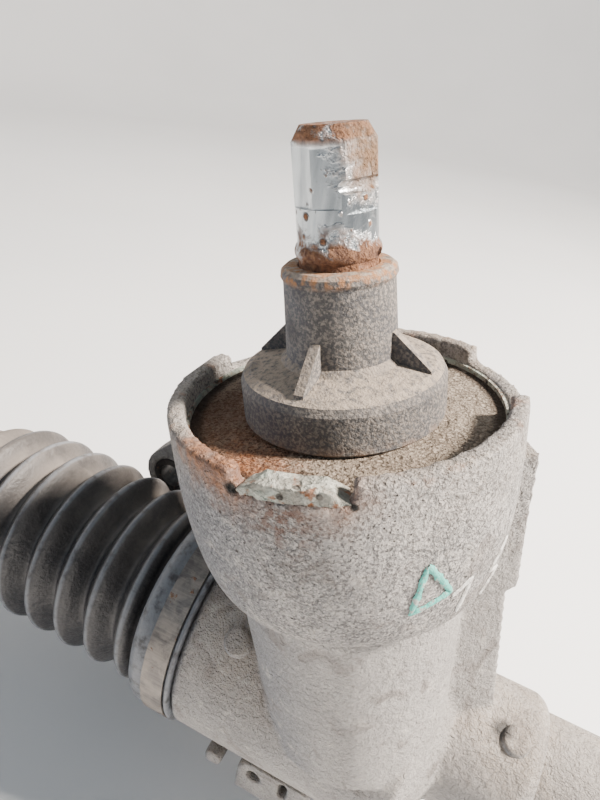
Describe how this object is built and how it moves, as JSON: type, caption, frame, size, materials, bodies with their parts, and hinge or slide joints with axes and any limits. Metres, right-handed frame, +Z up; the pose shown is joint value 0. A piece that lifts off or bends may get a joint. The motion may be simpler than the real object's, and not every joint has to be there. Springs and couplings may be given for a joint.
{
  "type": "rack and pinion",
  "caption": "Rack and pinion steering gear with a leaning sensor tower, bellows boots and tie rods; turning the input shaft slides the rack.",
  "frame": {"origin": "centre of the four mounting bolts, on the mounting face behind the rack", "axes": "+X along the rack away from the pinion, +Y out of the mounting face towards the subframe, +Z up towards the input shaft"},
  "size_m": [1.2436, 0.1007, 0.2292],
  "materials": {
    "cast_aluminium": "rough as-cast, weathered and dusty",
    "machined_aluminium": "machined",
    "rack_steel": "ground and induction hardened",
    "bearing_steel": "ground and polished",
    "black_steel": "phosphated",
    "rusty_steel": "bright at the end, rusted at its foot",
    "dusty_cover": "dusty, rust stained",
    "cover_ring": "corroded",
    "zinc_plate": "zinc plated",
    "clamp_steel": "dull, dusty",
    "boot_rubber": "black, dusty on top",
    "cap_rubber": "black, greyed with dust",
    "seal_rubber": "black",
    "bearing_polymer": "natural polymer",
    "liner_polymer": "low-friction liner",
    "cage_polymer": "glass-filled polymer",
    "sensor_metal": "sintered",
    "sensor_plastic": "moulded black plastic",
    "spring_steel": "oil tempered"
  },
  "bodies": {
    "housing": {"gear_housing": "cast_aluminium", "rack_tube": "cast_aluminium", "end_housing": "cast_aluminium", "mount_inserts": "black_steel", "rack_bush": "bearing_polymer", "bush_ring": "spring_steel", "yoke": "machined_aluminium", "yoke_liner": "liner_polymer", "yoke_spring": "spring_steel", "yoke_o_ring": "seal_rubber", "yoke_plug": "machined_aluminium", "yoke_lock_nut": "zinc_plate", "bearing_outer_race": "bearing_steel", "bearing_retainer": "black_steel", "needle_cup": "bearing_steel", "end_cap": "zinc_plate", "sensor_stator": "sensor_plastic", "port_cover": "cast_aluminium", "port_screws": "zinc_plate", "tower_cover": "dusty_cover", "crimp_ring": "cover_ring", "shaft_seal": "seal_rubber", "dust_cap": "cap_rubber", "left_boot_band": "clamp_steel", "right_boot_band": "clamp_steel", "left_boot": "boot_rubber", "right_boot": "boot_rubber"},
    "rack": {"rack_bar": "rack_steel", "left_socket": "black_steel", "right_socket": "black_steel", "lock_washers": "zinc_plate"},
    "pinion_shaft": {"pinion": "rack_steel", "bearing_inner_race": "bearing_steel", "bearing_nut": "black_steel", "torsion_bar": "spring_steel", "lower_pin": "bearing_steel", "sensor_sleeve": "sensor_metal"},
    "input_side": {"input_shaft": "rusty_steel", "sensor_rotor": "sensor_metal", "upper_pin": "bearing_steel"},
    "ball_set": {"bearing_balls": "bearing_steel", "bearing_cage": "cage_polymer"},
    "needle_set": {"needle_rollers": "bearing_steel", "needle_cage": "cage_polymer"},
    "left_seat": {"left_ball_seat": "bearing_polymer"},
    "left_rod": {"left_tie_rod": "black_steel", "left_jam_nut": "zinc_plate", "left_boot_clip": "clamp_steel"},
    "right_seat": {"right_ball_seat": "bearing_polymer"},
    "right_rod": {"right_tie_rod": "black_steel", "right_jam_nut": "zinc_plate", "right_boot_clip": "clamp_steel"}
  },
  "joints": [
    {"name": "rack_slide", "type": "slide", "parent": "housing", "child": "rack", "axis": [1, 0, 0], "range_m": [-0.065, 0.065], "deforming": ["left_boot", "right_boot"]},
    {"name": "pinion_turn", "type": "hinge", "parent": "housing", "child": "pinion_shaft", "pos_m": [-0.175, -0.05972, 0], "axis": [-0.2419, 0, 0.9703], "range_deg": [-525, 525], "deforming": ["left_boot", "right_boot"]},
    {"name": "input_twist", "type": "hinge", "parent": "pinion_shaft", "child": "input_side", "pos_m": [-0.175, -0.05972, 0], "axis": [-0.2419, 0, 0.9703], "range_deg": [-4.5, 4.5], "stiffness_Nm_per_rad": 115, "deforming": ["torsion_bar"]},
    {"name": "ball_set_turn", "type": "hinge", "parent": "housing", "child": "ball_set", "pos_m": [-0.175, -0.05972, 0], "axis": [-0.2419, 0, 0.9703], "range_deg": [-206, 206]},
    {"name": "needle_set_turn", "type": "hinge", "parent": "housing", "child": "needle_set", "pos_m": [-0.175, -0.05972, 0], "axis": [-0.2419, 0, 0.9703], "range_deg": [-236, 236]},
    {"name": "left_rod_swing", "type": "hinge", "parent": "rack", "child": "left_seat", "pos_m": [-0.335, -0.046, 0], "axis": [0, 1, 0], "range_deg": [-12, 32], "deforming": ["left_boot"]},
    {"name": "left_rod_sweep", "type": "hinge", "parent": "left_seat", "child": "left_rod", "pos_m": [-0.335, -0.046, 0], "axis": [-0.1736, 0, 0.9848], "range_deg": [-10, 10], "deforming": ["left_boot"]},
    {"name": "right_rod_swing", "type": "hinge", "parent": "rack", "child": "right_seat", "pos_m": [0.335, -0.046, 0], "axis": [0, -1, 0], "range_deg": [-12, 32], "deforming": ["right_boot"]},
    {"name": "right_rod_sweep", "type": "hinge", "parent": "right_seat", "child": "right_rod", "pos_m": [0.335, -0.046, 0], "axis": [0.1736, 0, 0.9848], "range_deg": [-10, 10], "deforming": ["right_boot"]}
  ],
  "couplings": [
    {"joint": "pinion_turn", "follows": "rack_slide", "rad_per_m": -140.23},
    {"joint": "ball_set_turn", "follows": "rack_slide", "rad_per_m": -53.989},
    {"joint": "needle_set_turn", "follows": "rack_slide", "rad_per_m": -62.403}
  ]
}
